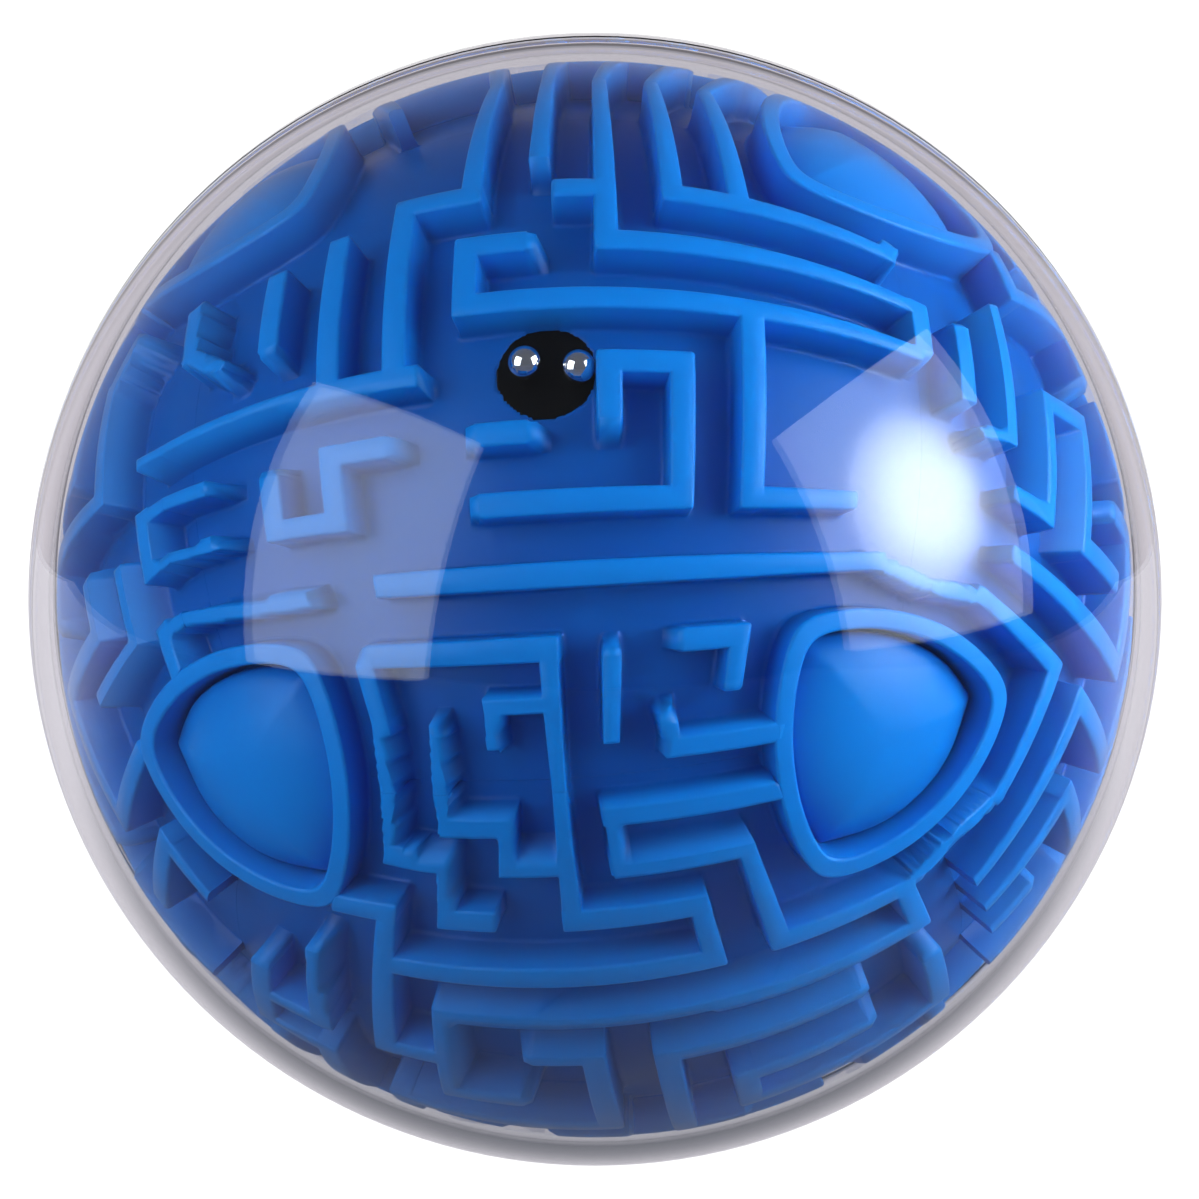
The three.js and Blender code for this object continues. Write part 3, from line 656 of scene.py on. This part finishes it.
def home_disc(material):
    """A turned disc with a round-edged top that falls off as the core's ball shape does"""
    edge_middle = [DISC_RADIUS - DISC_EDGE_ROUND, DISC_TOP - DISC_FALL - DISC_EDGE_ROUND]
    edge = arc(DISC_EDGE_ROUND, 0, math.pi / 2, 6) + edge_middle
    crown = [(DISC_RADIUS * share, DISC_TOP - DISC_FALL * share ** 2) for share in np.linspace(0.9, 0.1, 9)]
    low_edge = 0.1 * MM
    chamfer = [(DISC_RADIUS - low_edge, DISC_UNDERSIDE), (DISC_RADIUS, DISC_UNDERSIDE + low_edge)]
    towards = np.array(Vector((0, 1, 0)).rotation_difference(Vector(disc_axis())).to_matrix())
    profile = [(0, DISC_UNDERSIDE), *chamfer, *map(tuple, edge), *crown, (0, DISC_TOP)]
    points, polygons = spun(profile, DISC_AROUND, towards)
    piece("black_home_disc", points, polygons, material, ["home_disc"])


def shell_half(name, lipped, material):
    """A hollow half ball with a stepped seam: the lipped half reaches into the other"""
    quarter = math.pi / 2
    step = LIP_RADIUS if lipped else REBATE_RADIUS
    step_height = -LIP_LENGTH if lipped else REBATE_DEPTH
    outer = arc(SHELL_OUTER, quarter, math.asin(SEAM_GAP / SHELL_OUTER), SHELL_STEPS)
    inner = arc(SHELL_INNER, math.asin(step_height / SHELL_INNER), quarter, SHELL_STEPS)
    outer[0, 0] = inner[-1, 0] = 0
    seam = [(step, SEAM_GAP), (step, step_height)]
    profile = np.concatenate([inner[::-1], seam[::-1], outer[::-1]])
    points, polygons = spun(profile, SHELL_AROUND, turn("X", 180 if lipped else 0))
    piece(f"clear_{name}", points, polygons, material, [name])


def steel_ball(name, body, material):
    """A ball where the frame has it: its centre and radius are those of the node's box"""
    low, high = (Vector(corner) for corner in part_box(name))
    centre = (low + high) / 2
    radius = max(high - low) / 2
    profile = arc(radius, -math.pi / 2, math.pi / 2, BALL_STEPS)
    profile[0, 0] = profile[-1, 0] = 0
    points, polygons = spun(profile, BALL_AROUND, np.eye(3))
    placed = points + np.array(centre)
    piece(f"polished_{name}", placed, polygons, material, [name], body)


# ---- Finishes ----

class Value:
    """A shader socket that takes arithmetic: each operation adds a Math node"""

    def __init__(self, nodes, socket):
        self.nodes, self.socket = nodes, socket

    def math(self, operation, *others):
        values = dict(enumerate((self, *others)))
        return self.nodes.node("ShaderNodeMath", {"operation": operation}, values)

    def __add__(self, other):
        return self.math("ADD", other)

    def __mul__(self, other):
        return self.math("MULTIPLY", other)

    __radd__ = __add__
    __rmul__ = __mul__


class Nodes:
    """A node tree under construction"""

    def __init__(self, tree):
        self.tree = tree

    def node(self, kind, settings, sockets, output=0):
        """Any node: its settings are set first, a ramp's stops among them, then its sockets are fed"""
        made = self.tree.nodes.new(kind)
        for name, value in settings.items():
            if name == "stops":
                self.set_stops(made.color_ramp.elements, value)
            else:
                setattr(made, name, value)
        for key, value in sockets.items():
            self.feed(made.inputs[key], value)
        return None if output is None else Value(self, made.outputs[output])

    def feed(self, socket, value):
        if isinstance(value, Value):
            self.tree.links.new(value.socket, socket)
        else:
            socket.default_value = value

    def set_stops(self, elements, stops):
        """Puts the stops in place of a new ramp's own two, which lie at 0 and 1"""
        for place, tone in stops:
            elements.new(place).color = (*tone, 1)
        elements.remove(elements[0])
        elements.remove(elements[-1])


class Finish(Nodes):
    """A material under construction"""

    def __init__(self, name):
        self.material = bpy.data.materials.new(name)
        self.material.use_nodes = True
        super().__init__(self.material.node_tree)
        self.tree.nodes.clear()

    def place(self):
        return self.node("ShaderNodeTexCoord", {}, {}, "Object")

    def noise(self, scale, detail=3, roughness=0.5):
        sockets = {"Vector": self.place(), "Scale": scale, "Detail": detail, "Roughness": roughness}
        return self.node("ShaderNodeTexNoise", {}, sockets, "Fac")

    def part(self, vector, letter):
        return self.node("ShaderNodeSeparateXYZ", {}, {0: vector}, letter)

    def between(self, value, low, high):
        """0 at low, 1 at high, smooth between"""
        sockets = {"Value": value, "From Min": low, "From Max": high}
        return self.node("ShaderNodeMapRange", {"interpolation_type": "SMOOTHSTEP"}, sockets)

    def mixed(self, share, first, second):
        settings = {"data_type": "RGBA", "clamp_factor": True}
        return self.node("ShaderNodeMix", settings, {0: share, 6: first, 7: second}, 2)

    def bump(self, height, strength, distance):
        sockets = {"Height": height, "Strength": strength, "Distance": distance}
        return self.node("ShaderNodeBump", {}, sockets)

    def out(self, shader):
        self.node("ShaderNodeOutputMaterial", {}, {"Surface": shader}, None)
        return self.material

    def plastic(self, sockets):
        return self.node("ShaderNodeBsdfPrincipled", {}, sockets)


def moulded_blue():
    """Glossy moulded plastic with faint flow marks, its colour darker in the channels than on the wall
    tops: painted shade in the channels and painted light on the wall tops
    """
    f = Finish("moulded_blue")
    radius = f.node("ShaderNodeVectorMath", {"operation": "LENGTH"}, {0: f.place()}, "Value")
    # Painted shade and light: the colour is graded by radius, darker towards the channel floors for the
    # shade in the channels and brighter towards the wall tops for the light on them
    height = f.between(radius, CHANNEL_FLOOR, WALL_TOP)
    flow = f.noise(60, 4)
    grain = f.noise(1400, 2)
    # Darker blue is painted shade for the channel floors, brighter blue is painted light for the wall tops;
    # the flow marks vary each at random
    painted_shade_blue = f.mixed(flow, (0.0, 0.10, 0.46, 1), (0.0, 0.115, 0.52, 1))
    bright = f.mixed(flow, (0.0, 0.25, 0.88, 1), (0.0, 0.275, 0.92, 1))
    colour = f.mixed(height, painted_shade_blue, bright)
    roughness = 0.24 + flow * 0.12 + grain * 0.05
    normal = f.bump(grain, 0.12, 0.02 * MM)
    sockets = {"Base Color": colour, "Roughness": roughness, "Normal": normal, "Specular IOR Level": 0.18}
    return f.out(f.plastic(sockets))


def clear_styrene():
    """Clear polished plastic with a faint haze of handling"""
    f = Finish("clear_styrene")
    haze = f.noise(35, 5)
    roughness = f.between(haze, 0.55, 0.8) * 0.03
    sockets = {
        "Base Color": (0.97, 0.97, 0.99, 1), "Roughness": roughness,
        "Transmission Weight": 1.0, "IOR": SHELL_IOR,
    }
    return f.out(f.plastic(sockets))


def polished_steel():
    """Mirror-bright steel with the faintest polishing marks"""
    f = Finish("polished_steel")
    marks = f.noise(2500, 3)
    sockets = {"Base Color": (0.80, 0.81, 0.83, 1), "Metallic": 1.0, "Roughness": 0.05 + marks * 0.05}
    return f.out(f.plastic(sockets))


def smooth_black():
    """Black plastic, smooth with fine scuffs"""
    f = Finish("smooth_black")
    scuffs = f.noise(900, 5, 0.7)
    colour = f.mixed(scuffs, (0.001, 0.001, 0.001, 1), (0.003, 0.003, 0.004, 1))
    sockets = {"Base Color": colour, "Roughness": 0.35 + scuffs * 0.2, "Specular IOR Level": 0.08}
    return f.out(f.plastic(sockets))


def zinc_plate():
    """Zinc-plated screw steel, cloudy"""
    f = Finish("zinc_plate")
    cloud = f.noise(700, 4)
    colour = f.mixed(cloud, (0.48, 0.49, 0.52, 1), (0.66, 0.66, 0.68, 1))
    return f.out(f.plastic({"Base Color": colour, "Metallic": 1.0, "Roughness": 0.25 + cloud * 0.2}))


def frame_blue():
    """Unpolished darker blue plastic of the inner frame"""
    f = Finish("frame_blue")
    grain = f.noise(500, 4)
    colour = f.mixed(grain, (0.005, 0.04, 0.19, 1), (0.01, 0.06, 0.25, 1))
    normal = f.bump(grain, 0.3, 0.05 * MM)
    sockets = {"Base Color": colour, "Roughness": 0.45 + grain * 0.15, "Normal": normal}
    return f.out(f.plastic(sockets))


def set_finish(nodes, material):
    for node in nodes:
        shown = bpy.data.objects[node]
        shown.data.materials.clear()
        shown.data.materials.append(material)


# ---- Studio ----

def stage_mesh(name, corners, faces, material, seen):
    """A part of the studio: either only the camera sees it, or all but the camera"""
    mesh = bpy.data.meshes.new(name)
    mesh.from_pydata(corners, [], faces)
    mesh.materials.append(material)
    placed = bpy.data.objects.new(name, mesh)
    placed.visible_camera = seen
    placed.visible_diffuse = placed.visible_glossy = placed.visible_transmission = not seen
    bpy.context.scene.collection.objects.link(placed)


def square_corners(size, height):
    return [(-size, -size, height), (size, -size, height), (size, size, height), (-size, size, height)]


def studio_room():
    """A pale floor and walls that the camera sees all round, too far off for the ball's shadow to show"""
    corners = square_corners(ROOM_SIZE, -ROOM_DEPTH) + square_corners(ROOM_SIZE, ROOM_SIZE)
    box = [(0, 1, 2, 3), (7, 6, 5, 4), (0, 4, 5, 1), (1, 5, 6, 2), (2, 6, 7, 3), (3, 7, 4, 0)]
    f = Finish("pale_room")
    tone = f.mixed(f.noise(0.5, 2), (0.99, 0.99, 0.99, 1), (1, 1, 1, 1))
    base = (0.9, 0.9, 0.9, 1)
    sockets = {"Base Color": base, "Roughness": 0.9, "Emission Color": tone, "Emission Strength": 1.05}
    stage_mesh("studio_room", corners, box, f.out(f.plastic(sockets)), True)


def studio_floor():
    """The floor that lights the ball and shows in the shell, which glows only behind the ball"""
    f = Finish("glowing_floor")
    colour = f.mixed(f.noise(3, 2), (0.90, 0.89, 0.92, 1), (0.93, 0.92, 0.95, 1))
    behind = f.between(f.part(f.place(), "Y"), GLOW_START, GLOW_FULL)
    lit = f.mixed(behind, (0, 0, 0, 1), (0.98, 0.93, 0.98, 1))
    sockets = {"Base Color": colour, "Roughness": 0.9, "Emission Color": lit, "Emission Strength": 0.6}
    corners = square_corners(ROOM_SIZE, -FLOOR_DEPTH)
    stage_mesh("studio_floor", corners, [(0, 1, 2, 3)], f.out(f.plastic(sockets)), False)


def view_axes():
    """The view's right, up and backward directions"""
    back = Vector((0, -math.cos(VIEW_HEIGHT), math.sin(VIEW_HEIGHT)))
    right = Vector((1, 0, 0))
    return right, back.cross(right), back


def softbox(name, side_angle, rise_angle, distance, width, height, radiance, hot=0):
    """A rectangular light aimed at the ball, from angles off the line of sight. Its power is
    radiance x area x pi; hot adds a glow that fades with the square of the distance from its middle"""
    right, up, back = view_axes()
    side, rise = math.radians(side_angle), math.radians(rise_angle)
    towards = (right * math.sin(side) + back * math.cos(side)) * math.cos(rise) + up * math.sin(rise)
    light = bpy.data.lights.new(name, "AREA")
    light.shape = "RECTANGLE"
    light.size, light.size_y = width, height
    light.color = LIGHT_TINT
    light.energy = radiance * width * height * math.pi
    if hot:
        glow_in_middle(light, hot)
    placed = bpy.data.objects.new(name, light)
    placed.location = towards * distance
    placed.rotation_euler = towards.to_track_quat("Z", "Y").to_euler()
    placed.visible_camera = False
    bpy.context.scene.collection.objects.link(placed)


def glow_in_middle(light, hot):
    light.use_nodes = True
    nodes = Nodes(light.node_tree)
    place = nodes.node("ShaderNodeNewGeometry", {}, {}, "Parametric")
    middle = (0.5, 0.5, 0)
    off = nodes.node("ShaderNodeVectorMath", {"operation": "DISTANCE"}, {0: place, 1: middle}, "Value")
    sockets = {"Value": off, "From Min": 0.42, "From Max": 0.04, "To Min": 1, "To Max": 1 + hot}
    fade = nodes.node("ShaderNodeMapRange", {"interpolation_type": "SMOOTHERSTEP"}, sockets)
    nodes.feed(light.node_tree.nodes["Emission"].inputs["Strength"], fade)


def surroundings():
    """A room whose brightness falls off round the far end of the line of sight: white just behind the
    ball, pale grey round that, dim at the sides and in front, so that the shell mirrors little"""
    world = bpy.data.worlds.new("white_room")
    world.use_nodes = True
    nodes = Nodes(world.node_tree)
    way = nodes.node("ShaderNodeTexCoord", {}, {}, "Generated")
    sight = -view_axes()[2]
    ahead = nodes.node("ShaderNodeVectorMath", {"operation": "DOT_PRODUCT"}, {0: way, 1: sight}, "Value")
    tone = nodes.node("ShaderNodeValToRGB", {"stops": ROOM_TONES}, {0: ahead})
    nodes.feed(world.node_tree.nodes["Background"].inputs["Color"], tone)
    bpy.context.scene.world = world


def viewpoint():
    right, up, back = view_axes()
    camera = bpy.data.cameras.new("viewpoint")
    camera.lens, camera.sensor_width = VIEW_LENS, 36
    placed = bpy.data.objects.new("viewpoint", camera)
    placed.location = back * VIEW_DISTANCE + right * AIM_RIGHT + up * AIM_UP
    placed.rotation_euler = back.to_track_quat("Z", "Y").to_euler()
    bpy.context.scene.collection.objects.link(placed)
    bpy.context.scene.camera = placed


blue, steel, zinc = moulded_blue(), polished_steel(), zinc_plate()
for face in FACES:
    core_panel(face, blue)
for name, signs in CORNERS.items():
    corner_cap(name, signs, blue)
    set_finish([f"corner_screw_{name}"], zinc)
set_finish(["frame_screw"], zinc)
set_finish(["frame_upper", "frame_lower"], frame_blue())
home_disc(smooth_black())
steel_ball("steel_ball_left", "left_ball", steel)
steel_ball("steel_ball_right", "right_ball", steel)
clear = clear_styrene()
shell_half("shell_front", True, clear)
shell_half("shell_rear", False, clear)

studio_room()
studio_floor()
softbox("softbox_left", -51, 11, distance=1.1, width=0.85, height=1.0, radiance=4.0)
softbox("softbox_right", 71, 16, distance=1.1, width=1.0, height=0.9, radiance=3.8, hot=7)
surroundings()
viewpoint()
bpy.context.scene.view_settings.view_transform = "Standard"
